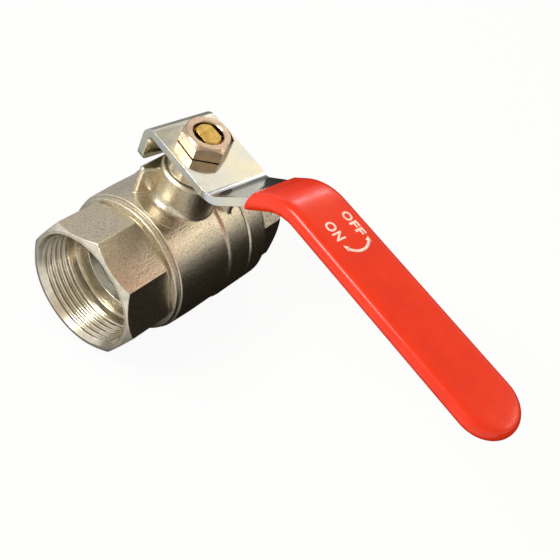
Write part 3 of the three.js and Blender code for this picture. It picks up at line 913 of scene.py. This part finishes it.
# The nut is an outline turned about Z, with the hexagon's distance for its radius and a cone to its top.
def makeNut(materials):
    across, topRadius = sizesOf(lowNut, "across", "topRadius")
    angles, hexagon = polygonOutline(6, math.radians(lowNut["turn"]), across, lowNut["cornerRound"])
    slope = lowNut["chamfer"] / (across / 2 / math.cos(math.pi / 6) - topRadius)
    base, top, hole, chamfer = sizesOf(lowNut, "base", "top", "hole", "holeChamfer")
    corners = [
        (base, hole, sharp),
        (base, hexagon, crisp),
        (top - (hexagon - topRadius) * slope, hexagon, eased),
        (top, topRadius, broken),
        (top, hole + chamfer, sharp),
        (top - chamfer, hole, sharp),
    ]
    grid = spun(outlineRows(corners, len(angles)), angles, "z")
    makePiece("lever_nut", [(grid, 0)], materials, "turning_set", ["lever_nut"])


# Corners are (place along the axis, radius, rounding). The seats mirror each other, and what lies under the
# gland fills the tower's bore from the stem out.
packing = (5.35, 8.2)
seatCorners = [
    (20.26, 15.4, broken),
    (20.26, 20.5, broken),
    (14.36, 20.5, machined),
    (14.74, 18.6, machined),
    (16.4, 17.1, sharp),
    (18.1, 15.4, machined),
]
glandCorners = [
    (35.9, packing[0], machined),
    (35.9, packing[1], machined),
    (40.3, packing[1], sharp),
    (40.3, 10, machined),
    (46.9, 10, broken),
    (47.7, 9.2, broken),
    (47.7, packing[0], machined),
]


def ringCorners(low, high, inner, outer, edge):
    return [(low, inner, edge), (low, outer, edge), (high, outer, edge), (high, inner, edge)]


# Small turned pieces: the node each stands for, its slot, the axis it is turned about and its corners.
turnedPieces = {
    "packing_gland": ("packing_gland", "nickel_plated_brass", "z", glandCorners),
    "inlet_seat": ("seat_ring_inlet", "ptfe", "x", [(-x, radius, edge) for x, radius, edge in seatCorners]),
    "outlet_seat": ("seat_ring_outlet", "ptfe", "x", seatCorners),
    "joint_seal": ("body_joint_seal", "ptfe", "x", ringCorners(14.7, 16.2, 24.9, 25.8, sharp)),
    "thrust_washer": ("stem_thrust_washer", "ptfe", "z", ringCorners(27.1, 28.0, *packing, sharp)),
    "lower_packing": ("stem_packing_lower", "ptfe", "z", ringCorners(30.7, 33.0, *packing, machined)),
    "upper_packing": ("stem_packing_upper", "ptfe", "z", ringCorners(33.3, 35.6, *packing, machined)),
}


def makeTurnedPieces(finishes):
    angles = allRound(smallColumns)
    for name, (node, slot, axis, corners) in turnedPieces.items():
        grid = spun(outlineRows(corners, len(angles)), angles, axis)
        makePiece(name, [(grid, 0)], [finishes[slot]], "valve", [node])


# The path is (along the lever, height) of the bends in the bar's middle.
bar = {
    "path": [(-13.9, 36.5), (-13.9, 49.7), (20.5, 49.7), (42.5, 70.6), (132.5, 69.4)],
    "bends": [0, 3.4, 7.3, 18, 0],
    "thickness": 3.0,
    "headHalf": 13.2,
    "neckHalf": 8.9,
    "tipHalf": 9.5,
    "headStart": -10.2,
    "headEnd": 16.0,
    "neckStart": 36.0,
    "footRound": 2.2,
    "tabStraight": 3.0,
    "hole": 5.3,
    "holeFlats": 3.8,
    "edge": 0.95,
    "edgeSegments": 4,
    "edgeAngle": 50,
    "bendSteps": 24,
    "rows": {"corner": 6, "tab": 22, "plate": 8, "handle": 110},
}


# The middle line of the bent bar as points (along the lever, height) and their distances along it.
def barLine():
    corners = np.array(bar["path"], float)[:, None]
    line = roundedRows(corners, bar["bends"], steps=bar["bendSteps"], closed=False)[:, 0]
    gone = np.concatenate([[0], np.cumsum(np.linalg.norm(np.diff(line, axis=0), axis=1))])
    return line, gone


# Distance along the bar of a place along the lever. The tab is left out, as it stands upright.
def barDistance(along):
    line, gone = barLine()
    pastTab = len(line) // 3
    return np.interp(along, line[pastTab:, 0], gone[pastTab:])


# Carries points (distance along the bar, across it, out from its middle) onto the bent bar: the point of
# its line at that distance, plus the way out times the line's normal there.
def bentPoints(distance, across, out):
    line, gone = barLine()
    slope = np.gradient(line, gone, axis=0)
    x, z = (np.interp(distance, gone, line[:, k]) for k in (0, 1))
    dx, dz = (np.interp(distance, gone, slope[:, k]) for k in (0, 1))
    size = np.hypot(dx, dz)
    return np.stack([x - out * dz / size, across + 0 * x, z + out * dx / size], axis=-1)


# The bar is a sheet cut to its blank, in distance and width, and bent: a strip for the tab, a plate round
# the stem's hole whose rings pass from the hole to a rectangle, and a strip for the neck and handle, whose
# half width runs straight from head to neck and from neck to tip.
def makeBar(materials, cells=12):
    line, gone = barLine()
    rows = bar["rows"]
    flat = np.flatnonzero(np.abs(line[:, 1] - bar["path"][1][1]) < shortest)
    middle = gone[flat[0]] - line[flat[0], 0]
    start, end = bar["headStart"] + middle, bar["headEnd"] + middle
    side, half, footRound = np.linspace(-1, 1, cells + 1), bar["headHalf"], bar["footRound"]
    corner = footRound * (1 - np.cos(np.linspace(0, math.pi / 2, rows["corner"])))
    foot = np.concatenate([corner, np.linspace(bar["tabStraight"], start, rows["tab"])])
    inward = np.clip(footRound - foot, 0, None)
    tabHalf = half - footRound + np.sqrt(footRound**2 - inward**2)
    tab = bentPoints(foot[:, None] + 0 * side, tabHalf[:, None] * side, 0)
    run = np.linspace(end, gone[-1], rows["handle"])
    places = [bar["headEnd"], bar["neckStart"], bar["path"][-1][0]]
    width = np.interp(np.interp(run, gone, line[:, 0]), places, [half, bar["neckHalf"], bar["tipHalf"]])
    left, tipRound = gone[-1] - run, bar["tipHalf"]
    rounded = np.sqrt(np.maximum(tipRound**2 - (tipRound - left) ** 2, 0))
    width = np.where(left < tipRound, rounded, width)
    handle = bentPoints(run[:, None] + 0 * side, width[:, None] * side, 0)
    across = np.concatenate([side, np.ones(cells - 1), side[::-1], -np.ones(cells - 1), side[:1]]) * half
    steps = np.linspace(0, 1, cells + 1)
    inner = steps[1:-1]
    distance = np.concatenate([0 * side, inner, 0 * side + 1, inner[::-1], [0]])
    distance = bar["headStart"] + distance * (bar["headEnd"] - bar["headStart"])
    angle = np.arctan2(across, distance)
    hole = np.minimum(bar["hole"], bar["holeFlats"] / (np.abs(np.sin(angle)) + tiny))
    share = np.linspace(0, 1, rows["plate"])[:, None]
    plateX = (1 - share) * hole * np.cos(angle) + share * distance
    plateY = (1 - share) * hole * np.sin(angle) + share * across
    plate = bentPoints(plateX + middle, plateY, 0)
    grids = [(tab, 0), (plate, 0), (handle, 0)]
    made = makePiece("lever_bar", grids, materials, "turning_set", ["lever"])
    wall = made.modifiers.new("thickness", "SOLIDIFY")
    wall.thickness, wall.offset = bar["thickness"] * mm, 0
    edge = made.modifiers.new("edge", "BEVEL")
    edge.width, edge.segments, edge.limit_method = bar["edge"] * mm, bar["edgeSegments"], "ANGLE"
    edge.angle_limit, edge.harden_normals = math.radians(bar["edgeAngle"]), True


sleeve = {
    "mouth": 31.5,
    "relaxOver": 6,
    "half": 3.0,
    "edgeRound": 2.75,
    "innerRound": 0.3,
    "wall": 1.2,
    "neckHalf": 11.0,
    "tipHalf": 11.2,
    "neckStart": 36.0,
    "tipStart": 130,
    "end": 134.0,
    "crown": 0.12,
    "lip": 0.45,
    "points": {"side": 90, "tip": 41, "edge": 8, "flat": 7, "lip": 6},
}


# The sleeve is a long pillow, open at its mouth, drawn flat and bent with the bar. A column is a point of
# its plan outline, out along one side, round the tip and back; a row is a distance inwards from that
# outline, with the height of its rounded edge there. The inner wall comes back the same way, and a lip
# joins both.
def makeSleeve(materials):
    line, gone = barLine()
    count = sleeve["points"]
    last = gone[-1] + sleeve["end"] - bar["path"][-1][0]
    rampStart, rampEnd = bar["path"][2:4]
    ramp = math.atan2(rampEnd[1] - rampStart[1], rampEnd[0] - rampStart[0])
    mouth = barDistance(sleeve["mouth"])

    # One wall's points. Height over the bar's middle is the half thickness, less the fall of the rounded
    # edge and of the crown.
    def skin(wall):
        tip, neck = sleeve["tipHalf"] - wall, sleeve["neckHalf"] - wall
        tipMiddle = last - sleeve["tipHalf"]
        straight = mouth + (tipMiddle - mouth) * np.linspace(0, 1, count["side"])
        along = np.interp(straight, gone, line[:, 0])
        half = np.interp(along, [sleeve["neckStart"], sleeve["tipStart"]], [neck, tip])
        turn = np.linspace(-math.pi / 2, math.pi / 2, count["tip"])[1:-1]
        edge = np.stack([straight, -half], axis=1), np.stack([straight, half], axis=1)
        end = np.stack([tipMiddle + tip * np.cos(turn), tip * np.sin(turn)], axis=1)
        outline = np.vstack([edge[0], end, edge[1][::-1]])
        spine = np.concatenate([straight, np.full(len(turn), tipMiddle), straight[::-1]])
        spine = np.stack([spine, 0 * spine], axis=1)
        room = np.linalg.norm(outline - spine, axis=1)
        inwards = (spine - outline) / room[:, None]
        thick, bend = sleeve["half"] - wall, max(sleeve["edgeRound"] - wall, sleeve["innerRound"])
        arc = np.linspace(0, math.pi / 2, count["edge"])
        flatPart = (bend + (room - bend) * np.linspace(1, 0, count["flat"])[:, None])[:-1]
        arcPart = (bend * (1 - np.sin(arc)))[:, None] + 0 * room
        depth = np.vstack([flatPart, arcPart])
        fall = (thick - bend + bend * np.cos(arc))[:, None] + 0 * room
        rise = np.vstack([0 * flatPart + thick, fall])
        rise = rise - sleeve["crown"] * (1 - depth / room) ** 2 * (wall == 0)
        depth, rise = np.vstack([depth, depth[::-1]]), np.vstack([rise, -rise[::-1]])
        place = outline[None] + inwards[None] * depth[..., None]
        return np.concatenate([place, rise[..., None]], axis=2)

    outer, inner = skin(0), skin(sleeve["wall"])
    lip = []
    for share in np.linspace(0, 1, count["lip"])[1:-1]:
        ring = outer * (1 - share) + inner * share
        ring = ring + np.array([-sleeve["lip"] * math.sin(share * math.pi), 0, 0])
        lip.append(ring)
    there = np.stack([ring[:, -1] for ring in lip], axis=1)
    back = np.stack([ring[:, 0] for ring in lip[::-1]], axis=1)
    sheet = np.concatenate([outer, there, inner[:, ::-1], back, outer[:, :1]], axis=1)
    distance, across, out = sheet[..., 0], sheet[..., 1], sheet[..., 2]
    relax = np.clip(1 - (distance - mouth) / sleeve["relaxOver"], 0, 1)
    distance = distance + out * math.tan(ramp) * relax
    grid = bentPoints(distance, across, out)
    beyond = np.clip(distance - gone[-1], 0, None)
    drop = np.arctan2(line[-1, 1] - line[-3, 1], line[-1, 0] - line[-3, 0])
    grid[..., 0] += beyond * math.cos(drop)
    grid[..., 2] += beyond * math.sin(drop)
    makePiece("lever_sleeve", [(grid, 0)], materials, "turning_set", ["lever_grip"])


# Lettering printed on the sleeve, read towards its tip: each letter's place along the lever and across it.
lettering = {
    "words": {
        "OFF": [("O", 53.9, 57.5), ("F", 58.0, 60.4), ("F", 60.8, 63.3)],
        "ON": [("O", 54.9, 58.4), ("N", 59.0, 61.9)],
    },
    "lines": {"OFF": (3.5, 6.7), "ON": (-5.0, -1.3)},
    "weight": 0.03,
    "sink": 0.1,
    "proud": 0.04,
    "arrow": {
        "middle": (61.85, 0.95),
        "radius": 5.75,
        "ends": (-70, 66),
        "width": 1.0,
        "head": 2.0,
        "headWidth": 2.1,
        "points": 41,
    },
}


# Puts flat points (along the lever, across it, height of print) onto the sleeve's top, which falls from its
# middle by the crown times the square of the share of its half width.
def printedPoints(flat):
    top = sleeve["half"] - sleeve["crown"] * (flat[..., 1] / sleeve["tipHalf"]) ** 2
    return bentPoints(barDistance(flat[..., 0]), flat[..., 1], top + flat[..., 2])


def makeLetters(ink):
    for word, letters in lettering["words"].items():
        low, high = lettering["lines"][word]
        parts = []
        for letter, start, end in letters:
            curve = bpy.data.curves.new(letter, "FONT")
            curve.body, curve.size = letter, 1
            curve.offset, curve.extrude = lettering["weight"], 0.5
            text = bpy.data.objects.new(letter, curve)
            mesh = bpy.data.meshes.new_from_object(text)
            points = np.empty(3 * len(mesh.vertices), np.float32)
            mesh.vertices.foreach_get("co", points)
            points = points.reshape(-1, 3).astype(float)
            lowest, highest = points.min(axis=0), points.max(axis=0)
            share = (points - lowest) / (highest - lowest)
            size = np.array([end - start, high - low, lettering["sink"] + lettering["proud"]])
            flat = share * size + np.array([start, low, -lettering["sink"]])
            placed = turnedPoints(printedPoints(flat), leverTurn) * mm
            mesh.vertices.foreach_set("co", placed.ravel().astype(np.float32))
            parts.append(mesh)
            bpy.data.objects.remove(text)
        joined = bpy.data.meshes.new("printed_" + word)
        mergeInto(joined, parts)
        joined.materials.append(ink)
        made = placeObject("printed_" + word, joined)
        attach(made, "turning_set")


# The arrow is a strip round an arc: its half width is constant, then rises at each end to the head's and
# falls in a straight line to nothing at the tip.
def makeArrow(ink):
    arrow = lettering["arrow"]
    start, end = (math.radians(angle) for angle in arrow["ends"])
    head, wide, narrow = arrow["head"] / arrow["radius"], arrow["headWidth"] / 2, arrow["width"] / 2
    inner = np.linspace(start + head, end - head, arrow["points"])
    angles = np.concatenate([[start, start + head], inner, [end - head, end]])
    half = np.concatenate([[0, wide], np.full(len(inner), narrow), [wide, 0]])
    side = np.array([-1, -1, 1, 1, -1])[:, None]
    low, high = -lettering["sink"], lettering["proud"]
    radius = arrow["radius"] + side * half
    along = arrow["middle"][0] + radius * np.cos(angles)
    across = arrow["middle"][1] + radius * np.sin(angles)
    height = np.array([low, high, high, low, low])[:, None] + 0 * radius
    flat = np.stack([along, across, height], axis=-1)
    makePiece("printed_arrow", [(printedPoints(flat), 0)], [ink], "turning_set", [])


makeCamera(cameraSettings)
makeFloor(studio)
makeRoom(studio)
makeLamps(studio)
makeFlag(studio)
print("camera and studio made")

materials = [makeFinish(name, finish) for name, finish in finishes.items()]
forged, turned, upright, bareBrass, nutSteel, zincSteel, redVinyl, chrome, fluoropolymer, ink = materials
print("finishes made")

makeBody(forged, turned)
makeCap(forged, turned)
makeTurnedPieces({"nickel_plated_brass": upright, "ptfe": fluoropolymer})
print("fixed pieces made")

makeBall([chrome])
makeStem([bareBrass])
makeNut([nutSteel])
makeBar([zincSteel])
makeSleeve([redVinyl])
makeLetters(ink)
makeArrow(ink)
print("turning pieces made")

bpy.context.scene.view_settings.view_transform = "Standard"
